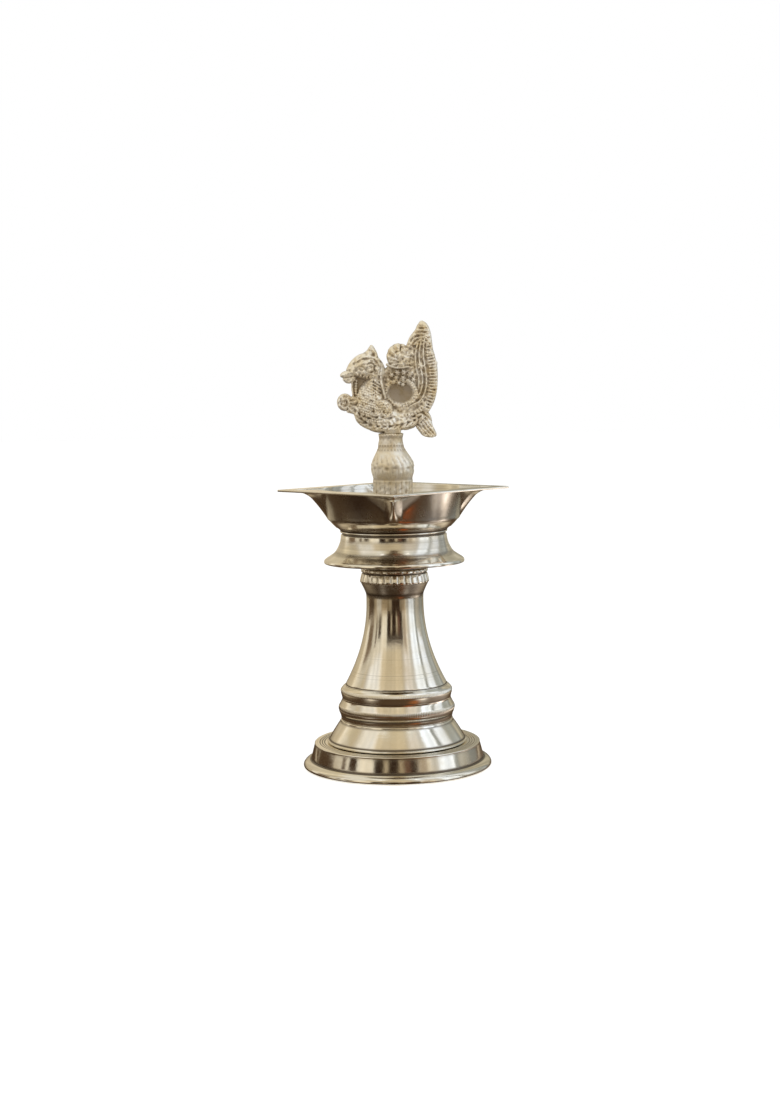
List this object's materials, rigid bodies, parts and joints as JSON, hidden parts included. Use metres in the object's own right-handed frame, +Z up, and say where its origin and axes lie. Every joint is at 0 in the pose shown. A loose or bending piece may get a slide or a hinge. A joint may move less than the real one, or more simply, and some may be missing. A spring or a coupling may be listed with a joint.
{
  "type": "aarti lamp",
  "caption": "Oil lamp with a wide spouted bowl on a bell-shaped stand, topped by a cast peacock finial.",
  "frame": {"origin": "centre of the foot's underside, on the lamp's axis", "axes": "+Z up along the lamp's axis; the bird faces -X; the four spouts point along X and Y, and the one at -Y faces the picture's camera"},
  "size_m": [0.089, 0.089, 0.17],
  "materials": {
    "polished_silver": "silver plated, turned and polished",
    "cast_silver": "silver plated casting, chased, dark in its hollows",
    "steel": "bright turned steel",
    "fibre": "red-brown vulcanised fibre"
  },
  "bodies": {
    "stand": {"foot": "polished_silver", "dome": "polished_silver", "lower_ring": "polished_silver", "upper_ring": "polished_silver", "bell_stem": "polished_silver", "collar": "polished_silver", "central_rod": "steel", "base_plate": "polished_silver", "base_washer": "steel", "base_nut": "steel"},
    "bowl_seal": {"bowl_washer": "fibre"},
    "bowl": {"bowl_boss": "polished_silver", "bowl_skirt": "polished_silver", "bowl_ring": "polished_silver", "oil_bowl": "polished_silver"},
    "finial_seal": {"finial_washer": "fibre"},
    "finial": {"finial_stud": "steel", "baluster": "cast_silver", "bird": "cast_silver"}
  },
  "joints": [
    {"name": "bowl_lift", "type": "slide", "parent": "stand", "child": "bowl_seal", "axis": [0, 0, 1], "range_m": [0, 0.005]},
    {"name": "bowl_turn", "type": "hinge", "parent": "bowl_seal", "child": "bowl", "pos_m": [0, 0, 0.0804], "axis": [0, 0, 1], "range_deg": [0, 1800]},
    {"name": "finial_lift", "type": "slide", "parent": "bowl", "child": "finial_seal", "axis": [0, 0, 1], "range_m": [0, 0.005]},
    {"name": "finial_turn", "type": "hinge", "parent": "finial_seal", "child": "finial", "pos_m": [0, 0, 0.0927], "axis": [0, 0, 1], "range_deg": [0, 1800]}
  ],
  "couplings": [
    {"joint": "bowl_lift", "follows": "bowl_turn", "m_per_rad": 0.00015915},
    {"joint": "finial_lift", "follows": "finial_turn", "m_per_rad": 0.00015915}
  ]
}
